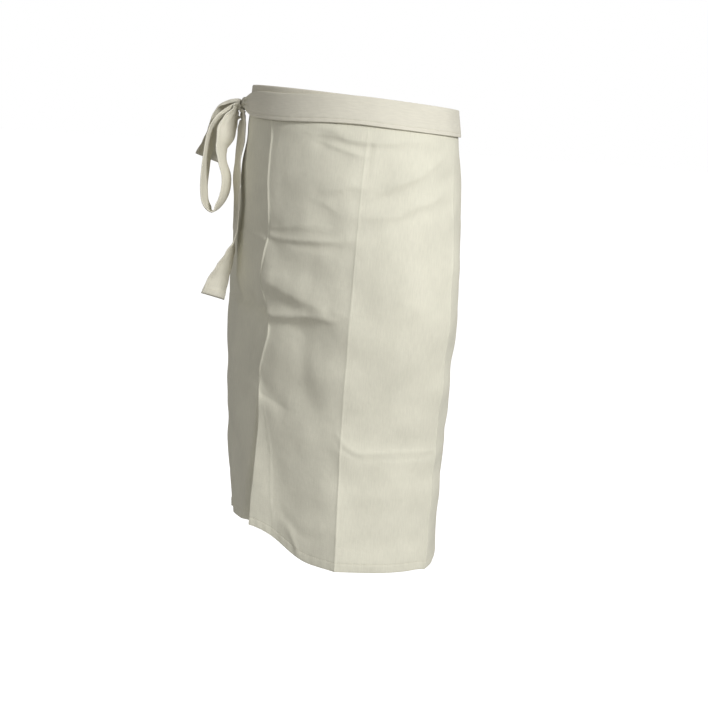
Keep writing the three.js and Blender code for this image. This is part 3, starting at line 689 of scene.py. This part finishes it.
row, column = np.meshgrid(panel_rows / CLOTH_LENGTH, panel_columns, indexing="ij")
slide = np.clip(1 - np.abs(column - FRONT_CREASE) / CREASE_PITCH, 0, 1)
panel_place = column + slide * CREASE_PITCH * row_value(WANDER_LEVEL, WANDER_SHIFT, row)
panel_depth = row * cloth_drop(panel_place)
panel_middle = cloth_point(panel_place, panel_depth, panel_off(panel_place, row))
panel_normal = sheet_normals(panel_middle)
panel_normal *= np.sign((panel_normal * plan_normal(panel_place, row)).sum())
edge = rim(column, RIGHT_EDGE, LEFT_EDGE, CLOTH_WALL) * rim(row * CLOTH_LENGTH, BAND_SEAM, CLOTH_LENGTH, CLOTH_WALL)
hemmed = np.maximum(
    ease(CLOTH_LENGTH - BOTTOM_HEM - 1, CLOTH_LENGTH - BOTTOM_HEM, row * CLOTH_LENGTH),
    (1 - ease(SIDE_HEM, SIDE_HEM + 1, np.minimum(column - RIGHT_EDGE, LEFT_EDGE - column)))
    * ease(BAND_HEIGHT, BAND_HEIGHT + 6, row * CLOTH_LENGTH))
outer = panel_middle + panel_normal * (edge * CLOTH_WALL / 2)[..., None]
inner = panel_middle - panel_normal * (edge * (CLOTH_WALL / 2 + HEM_FOLD * hemmed))[..., None]
panel = cloth_object("panel_cloth", outer, inner, np.stack([panel_place, panel_depth], -1), twill)
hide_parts("apron_panel")
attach(panel, "root")


def panel_line(place, level):
    """Points on the cloth's outer face at places and levels, and its normals there, from two short steps."""
    def skin(p, l):
        return cloth_point(p, l * cloth_drop(p), panel_off(p, l) + CLOTH_WALL / 2)
    here = skin(place, level)
    normal = np.cross(skin(place, level + 0.001) - here, skin(place + 0.6, level) - here)
    normal *= np.sign((normal * plan_normal(place, level)).sum())
    return here, normal / np.linalg.norm(normal, axis=1, keepdims=True)


hem_place = np.arange(RIGHT_EDGE + 1.5, LEFT_EDGE - 1.5, 1.0)
side_level = np.arange(BAND_HEIGHT + 4, CLOTH_LENGTH - 1.5, 1.0) / CLOTH_LENGTH
panel_stitches = stitch_row("panel_stitches", [
    panel_line(hem_place, np.full(hem_place.shape, 1 - HEM_STITCH / CLOTH_LENGTH)),
    panel_line(np.full(side_level.shape, RIGHT_EDGE + SIDE_STITCH), side_level),
    panel_line(np.full(side_level.shape, LEFT_EDGE - SIDE_STITCH), side_level)])

# Waistband: a strip of the same twill folded over the panel's top edge, with the edge between its two
# layers, and sewn through all of them along its lower edge.
BAND_LAYER = 1.0
SEAT_GAP = 0.3
BAND_HALF = 0.6 + SEAT_GAP + BAND_LAYER

# The band's twill is the panel's cloth coloured a little darker: painted shade for the dim strip of band above the
# tie.
band_twill_painted_shade = twill_material("waistband twill, painted shade", (0.73, 0.70, 0.59))
band_turn = (BAND_HALF - BAND_LAYER / 2)
leg = np.linspace(BAND_HEIGHT, band_turn, 12)
bow = np.linspace(0, np.pi, 9)[1:-1]
band_depth = np.concatenate([leg, band_turn - band_turn * np.sin(bow), leg[::-1]]) + BAND_LAYER / 2
band_depth = np.minimum(band_depth, BAND_HEIGHT)
band_off = np.concatenate([np.full(12, band_turn), band_turn * np.cos(bow), np.full(12, -band_turn)])
band_path = np.arange(len(band_off), dtype=float)
band_columns = add_rims(panel_columns[::2], BAND_LAYER)
band_middle = cloth_point(band_columns[None, :], band_depth[:, None], band_off[:, None])
band_run = np.concatenate([[0], np.cumsum(np.hypot(np.diff(band_depth), np.diff(band_off)))])
band_normal = sheet_normals(band_middle)
band_out = band_normal[3, :, :] * plan_normal(band_columns, np.zeros(len(band_columns)))
band_normal *= np.sign(band_out.sum())
edge = rim(band_columns, RIGHT_EDGE, LEFT_EDGE, BAND_LAYER)[None, :] * rim(band_run, 0, band_run[-1], BAND_LAYER)[:, None]
outer = band_middle + band_normal * (edge * BAND_LAYER / 2)[..., None]
inner = band_middle - band_normal * (edge * BAND_LAYER / 2)[..., None]
band_uv = np.stack(np.broadcast_arrays(band_columns[None, :], band_run[:, None]), -1)
band = cloth_object("band_cloth", outer, inner, band_uv, band_twill_painted_shade)
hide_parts("waistband")
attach(band, "root")
BAND_STITCH = 2.5
band_row = int(np.abs(band_depth[:12] - (BAND_HEIGHT - BAND_STITCH)).argmin())
stitch_row("band_stitches", [(outer[band_row], band_normal[band_row])])

# Ties: two strips of twill, folded lengthwise and stitched near their lower edge. They leave the band's ends,
# cross at the back, narrowed one above the other, and lie round the waist to the knot at the front right.
TIE_WIDTH = 33
TIE_WALL = 1.4
TIE_SAG = 8
TIE_SEAM = 0.72
KNOT_PLACE = -104
KNOT_WIDTH = 17
KNOT_DEPTH = 10
KNOT_HEIGHT = 17
KNOT_GATHER = 60
TIE_OFF = BAND_HALF + SEAT_GAP + TIE_WALL / 2
KNOT_OFF = BAND_HALF + SEAT_GAP + TIE_WALL + KNOT_DEPTH / 2
KNOT_DOWN = BAND_HEIGHT / 2 + TIE_SAG

tie_colour = twill_material("tie twill", (0.76, 0.735, 0.63))


def tie_across(count=15):
    """Steps across a tie from -1 to 1, closer at its rounded edges and at its stitch line."""
    steps = np.linspace(-1, 1, count)
    near = np.array([0.12, 0.45, 1.0]) * TIE_WALL / TIE_WIDTH
    seam = TIE_SEAM + np.array([-0.06, -0.03, 0, 0.03, 0.06])
    steps = steps[np.abs(steps - TIE_SEAM) > 0.09]
    return np.unique(np.concatenate([steps, seam, -1 + near, 1 - near]))


def tie_groove(across):
    """The stitch line's small groove, a Gaussian across the tie."""
    return -0.28 * np.exp(-(((across - TIE_SEAM) / 0.04) ** 2))


def tie_rim(across):
    """The share of a tie's wall towards its two long edges."""
    return rim(across * TIE_WIDTH / 2, -TIE_WIDTH / 2, TIE_WIDTH / 2, TIE_WALL)


def knot_flank():
    """How far along the cloth the knot's side lies from its middle, with the seam gap."""
    step = cloth_point([KNOT_PLACE + 1, KNOT_PLACE], KNOT_DOWN, KNOT_OFF)
    return (KNOT_WIDTH / 2 + SEAT_GAP) / np.linalg.norm(step[0] - step[1])


def worn_tie(name, start, stop, side, sag, pleats):
    """A strip round the waist: at each place its middle depth, width and distance from the cloth follow how
    near it is to the crossing at the back and to the knot, and cosine pleats take up the lost width."""
    gap = (RIGHT_EDGE + WAIST_GIRTH - LEFT_EDGE) / 2
    crossing = LEFT_EDGE + gap
    low, high = min(start, stop), max(start, stop)
    along = add_rims(np.linspace(low, high, int((high - low) / 2.6)), TIE_WALL)[None, :]
    across = tie_across()[:, None]
    cross = 1 - ease(gap * 0.8, gap * 3, np.abs(along - crossing))
    gather = np.maximum(0, 1 - np.abs(along - stop) / KNOT_GATHER) ** 2
    width = TIE_WIDTH * (1 - 0.56 * cross) * (1 - 0.6 * gather)
    rise = ease(0, gap * 1.8, np.abs(along - start))
    off = mix(TIE_OFF * rise, KNOT_OFF, gather)
    drop = mix(sag(along) * (1 - cross), TIE_SAG, gather)
    middle = BAND_HEIGHT / 2 + drop - side * cross * TIE_WIDTH * 0.26
    bunched = np.maximum(cross * 0.8, ease(0, 1, gather))
    pleat = bunched * 1.6 * (np.cos(np.pi * pleats * across + 1.1 * np.sin(along / 19)) - 0.2)
    slack = 0.35 * np.sin(along / 23 + 2 * across) * (1 - bunched)
    crinkle = 0.13 * np.sin(along / 2.3 + 1.6 * np.sin(along / 17)) * np.exp(-(((across - TIE_SEAM) / 0.3) ** 2))
    off = off + pleat + slack + crinkle + tie_groove(across)
    points = cloth_point(along, middle + across * width / 2, off)
    normal = sheet_normals(points)
    normal *= np.sign((normal * plan_normal(wrapped(along, 0.0), np.zeros(along.shape))).sum())
    edge = tie_rim(across) * rim(along, low, high, TIE_WALL)
    outer = points + normal * (edge * TIE_WALL / 2)[..., None]
    inner = points - normal * (edge * TIE_WALL / 2)[..., None]
    uv = np.stack(np.broadcast_arrays(across * TIE_WIDTH / 2, along), -1)
    seam = int(np.abs(across[:, 0] - TIE_SEAM).argmin())
    return cloth_object(name, outer, inner, uv, tie_colour), (outer[seam], normal[seam])


front_tie, front_tie_seam = worn_tie(
    "front_tie_cloth", RIGHT_EDGE + WAIST_GIRTH - SEAT_GAP, KNOT_PLACE + knot_flank(), 1,
    lambda place: TIE_SAG * (1 - ease(SIDE_CREASE - CREASE_PITCH, SIDE_CREASE, place)), 3)
back_tie, back_tie_seam = worn_tie(
    "back_tie_cloth", LEFT_EDGE + SEAT_GAP, KNOT_PLACE + WAIST_GIRTH - knot_flank(), -1,
    lambda place: TIE_SAG / 2 + 0 * place, 3)
for piece, node, seam in ((front_tie, "front_tie", front_tie_seam), (back_tie, "back_tie", back_tie_seam)):
    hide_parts(node)
    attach(piece, "root")
    stitch_row(node + "_stitches", [seam])

# Half bow: the knot where the two ties cross, a loop, and the two hemmed ends that hang from it. Each strip
# leaves the knot bunched, opens out to its full width, and hangs with a slight lengthwise curl.
LOOP_DROP = 137
LOOP_REACH = 51
SHORT_TAIL_DROP = 72
SHORT_TAIL_REACH = 49
LONG_TAIL_DROP = 247
LONG_TAIL_REACH = 33

knot_middle = cloth_point(KNOT_PLACE, KNOT_DOWN, KNOT_OFF)
knot_out = plan_normal(np.float64(KNOT_PLACE), np.float64(0))
knot_round = np.array([-knot_out[1], knot_out[0], 0.0])

# Rows of a strip: along the waist in tie widths, drop and distance as shares, turn in degrees, width share
LOOP_ROWS = np.array([
    (0.18, 0.09, 0.36, 24, 0.66), (0.3, 0.17, 0.45, 38, 0.84), (0.4, 0.27, 0.53, 44, 0.94),
    (0.52, 0.4, 0.61, 20, 1), (0.54, 0.53, 0.56, 13, 1), (0.52, 0.68, 0.42, 15, 1),
    (0.5, 0.82, 0.43, 15, 1), (0.46, 0.94, 0.56, 12, 1), (0.44, 1, 0.74, 6, 1), (0.42, 0.94, 0.92, 8, 1),
    (0.4, 0.8, 0.99, 9, 1), (0.4, 0.61, 0.98, 11, 1), (0.38, 0.42, 0.95, 12, 0.96),
    (0.32, 0.29, 0.92, 10, 0.86), (0.22, 0.17, 0.82, 6, 0.7), (0.08, 0.07, 0.59, 0, 0.5),
])
SHORT_TAIL_ROWS = np.array([
    (-0.1, -0.02, 0.55, 14, 0.56), (-0.24, 0.07, 0.76, 26, 0.74), (-0.4, 0.26, 0.86, 32, 0.84),
    (-0.52, 0.5, 0.88, 40, 0.9), (-0.58, 0.75, 0.92, 52, 0.96), (-0.6, 1, 1, 68, 1),
])
LONG_TAIL_ROWS = np.array([
    (0.16, 0.07, 0.25, -16, 0.6), (0.3, 0.12, 0.22, -28, 0.68), (0.42, 0.2, 0.2, -28, 0.74),
    (0.54, 0.29, 0.26, -20, 0.76), (0.56, 0.38, 0.25, -26, 0.78), (0.58, 0.49, 0.22, -20, 0.8),
    (0.56, 0.63, 0.24, -16, 0.82), (0.54, 0.7, 0.27, -4, 0.84), (0.52, 0.77, 0.4, 20, 0.87),
    (0.48, 0.85, 0.62, 40, 0.9), (0.46, 0.93, 0.85, 60, 0.94), (0.46, 1, 1, 74, 0.96),
])


def knot_leave(angle):
    """Two points off the knot's skin, square to it, at an angle above the level direction outwards."""
    turn = np.radians(angle)
    skin = knot_middle + knot_out * np.cos(turn) * KNOT_DEPTH / 2 + upward * np.sin(turn) * KNOT_HEIGHT / 2
    square = knot_out * np.cos(turn) / KNOT_DEPTH + upward * np.sin(turn) / KNOT_HEIGHT
    square /= np.linalg.norm(square)
    return [skin + square * SEAT_GAP, skin + square * (SEAT_GAP + TIE_WIDTH / 8)]


def centripetal(points, steps):
    """Catmull-Rom curve with centripetal knots: each span is the cubic whose end slopes come from the
    neighbouring points, weighted by the square roots of the distances."""
    points = np.vstack([2 * points[0] - points[1], points, 2 * points[-1] - points[-2]])
    root = np.maximum(np.linalg.norm(np.diff(points, axis=0), axis=1) ** 0.5, 1e-4)[:, None]
    p0, p1, p2, p3 = points[:-3], points[1:-2], points[2:-1], points[3:]
    d0, d1, d2 = root[:-2], root[1:-1], root[2:]
    t1 = ((p1 - p0) / d0 - (p2 - p0) / (d0 + d1) + (p2 - p1) / d1) * d1
    t2 = ((p2 - p1) / d1 - (p3 - p1) / (d1 + d2) + (p3 - p2) / d2) * d1
    at = np.arange(len(p1) * steps + 1) / steps
    span = np.minimum(at.astype(int), len(p1) - 1)
    w = (at - span)[:, None]
    c2 = -3 * p1 + 3 * p2 - 2 * t1 - t2
    c3 = 2 * p1 - 2 * p2 + t1 + t2
    path = p1[span] + t1[span] * w + c2[span] * w**2 + c3[span] * w**3
    slope = t1[span] + 2 * c2[span] * w + 3 * c3[span] * w**2
    return path, slope / np.linalg.norm(slope, axis=1, keepdims=True), span, w[:, 0]


def bow_strip(name, rows, drop, reach, angles, curl, pleats, end_hem):
    """A strip along its rows' curve: across it a parabola for the curl and cosine pleats where it is
    narrower than the tie. A hemmed end has its wall doubled over the hem."""
    path = cloth_point(KNOT_PLACE + rows[:, 0] * TIE_WIDTH, KNOT_DOWN + rows[:, 1] * drop, rows[:, 2] * reach)
    turn, width = rows[:, 3], rows[:, 4]
    path = np.vstack([knot_leave(angles[0]), path])
    held = KNOT_WIDTH / TIE_WIDTH
    turn, width = np.concatenate([[0, 0], turn]), np.concatenate([[held] * 2, width])
    if len(angles) > 1:
        path = np.vstack([path, knot_leave(angles[1])[::-1]])
        turn, width = np.concatenate([turn, [0, 0]]), np.concatenate([width, [held] * 2])
    line, along, span, w = centripetal(path, 8)
    share = ease(0, 1, w)
    turn = np.radians(mix(turn[span], turn[span + 1], share))[:, None]
    width = mix(width[span], width[span + 1], share)
    run = np.concatenate([[0], np.cumsum(np.linalg.norm(np.diff(line, axis=0), axis=1))])
    wide = knot_round * np.cos(turn) + knot_out * np.sin(turn)
    wide = wide - along * (wide * along).sum(1, keepdims=True)
    wide /= np.linalg.norm(wide, axis=1, keepdims=True)
    thick = np.cross(along, wide)
    across = tie_across(17)
    bunched = ease(0.95, 0.45, width)[:, None]
    bow_off = curl(run / run[-1])[:, None] * (across**2 - 0.33)
    pleat = bunched * 1.9 * np.cos(np.pi * pleats * across + 0.5 * np.sin(run / 11)[:, None])
    off = (bow_off + pleat + tie_groove(across))[..., None] * thick[:, None, :]
    points = line[:, None, :] + wide[:, None, :] * (across * TIE_WIDTH / 2 * width[:, None])[..., None] + off
    normal = sheet_normals(points)
    edge = tie_rim(across)[None, :] * rim(run, 0, run[-1], TIE_WALL)[:, None]
    hem = ease(run[-1] - end_hem - 0.8, run[-1] - end_hem, run)[:, None] if end_hem else 0 * run[:, None]
    outer = points + normal * (edge * TIE_WALL / 2)[..., None]
    inner = points - normal * (edge * (TIE_WALL / 2 + 0.8 * hem))[..., None]
    uv = np.stack(np.broadcast_arrays(across[None, :] * TIE_WIDTH / 2, run[:, None]), -1)
    seam = int(np.abs(across - TIE_SEAM).argmin())
    sewn = (run > TIE_WIDTH / 3) & (run < run[-1] - (1.5 if end_hem else TIE_WIDTH / 3))
    seams = [(outer[sewn, seam], normal[sewn, seam]), (inner[sewn, seam], -normal[sewn, seam])]
    if end_hem:
        last = int(np.abs(run - (run[-1] - end_hem + 1)).argmin())
        seams += [(outer[last, 2:-2], normal[last, 2:-2]), (inner[last, 2:-2], -normal[last, 2:-2])]
    return cloth_object(name, outer, inner, uv, tie_colour), seams, run


loop, loop_seams, loop_run = bow_strip(
    "bow_loop_cloth", LOOP_ROWS, LOOP_DROP, LOOP_REACH, (-34, -8), lambda s: 2.0 * np.sin(np.pi * s), 3, 0)
short_tail, short_seams, short_run = bow_strip(
    "short_tail_cloth", SHORT_TAIL_ROWS, SHORT_TAIL_DROP, SHORT_TAIL_REACH, (18,), lambda s: -5 * s, 3, 9)
long_tail, long_seams, long_run = bow_strip(
    "long_tail_cloth", LONG_TAIL_ROWS, LONG_TAIL_DROP, LONG_TAIL_REACH, (-78,), lambda s: 4 - 5 * s, 3, 9)

KNOT_TURNS = 64
KNOT_ROWS = 49
lean = np.linspace(0, np.pi, KNOT_ROWS)[1:-1, None]
angle = np.linspace(0, 2 * np.pi, KNOT_TURNS, endpoint=False)[None, :]
groove = 1 - 0.06 * (1 - np.cos(4 * lean)) * np.abs(np.sin(angle))
fold = 0.075 * np.abs(np.sin(2.5 * (lean + 0.35 * np.sin(angle)))) - 0.05
reach = np.sin(lean) * (groove + fold * np.sin(lean))
knot_points = (
    knot_middle + upward * (np.cos(lean) * KNOT_HEIGHT / 2)[..., None]
    + knot_out * (np.cos(angle) * reach * KNOT_DEPTH / 2)[..., None]
    + knot_round * (np.sin(angle) * reach * KNOT_WIDTH / 2)[..., None]
)
knot_poles = np.array([knot_middle + upward * KNOT_HEIGHT / 2, knot_middle - upward * KNOT_HEIGHT / 2])
knot_index = np.arange(knot_points.size // 3).reshape(knot_points.shape[:2])
after = np.roll(knot_index, -1, axis=1)
quads = np.stack([knot_index[:-1], knot_index[1:], after[1:], after[:-1]], -1).reshape(-1, 4)
pole = knot_index.size
caps = [(pole, int(a), int(b)) for a, b in zip(knot_index[0], after[0])]
caps += [(pole + 1, int(b), int(a)) for a, b in zip(knot_index[-1], after[-1])]
knot_mesh = bpy.data.meshes.new("knot_cloth")
knot_mesh.from_pydata(
    (np.vstack([knot_points.reshape(-1, 3), knot_poles]) * 0.001).tolist(), [], quads.tolist() + caps)
knot_layer = knot_mesh.uv_layers.new(name="cloth")
knot_uv = np.vstack([
    np.stack(np.broadcast_arrays(angle * KNOT_WIDTH / 2, lean * KNOT_HEIGHT / 2), -1).reshape(-1, 2),
    [(0, 0), (0, KNOT_HEIGHT * np.pi / 2)]]) * 0.001
corner_index = np.empty(len(knot_mesh.loops), int)
knot_mesh.loops.foreach_get("vertex_index", corner_index)
knot_layer.data.foreach_set("uv", knot_uv[corner_index].ravel())
knot_mesh.polygons.foreach_set("use_smooth", np.ones(len(knot_mesh.polygons), bool))
knot_mesh.materials.append(tie_colour)
knot = bpy.data.objects.new("knot_cloth", knot_mesh)
bpy.context.collection.objects.link(knot)
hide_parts("knot")
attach(knot, "root")

for piece, node, seams, run in ((loop, "bow_loop", loop_seams, loop_run),
                                (short_tail, "short_tail", short_seams, short_run),
                                (long_tail, "long_tail", long_seams, long_run)):
    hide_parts(node)
    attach(piece, "root")
    seam_name = node + "_stitches"
    stitch_row(seam_name, seams)
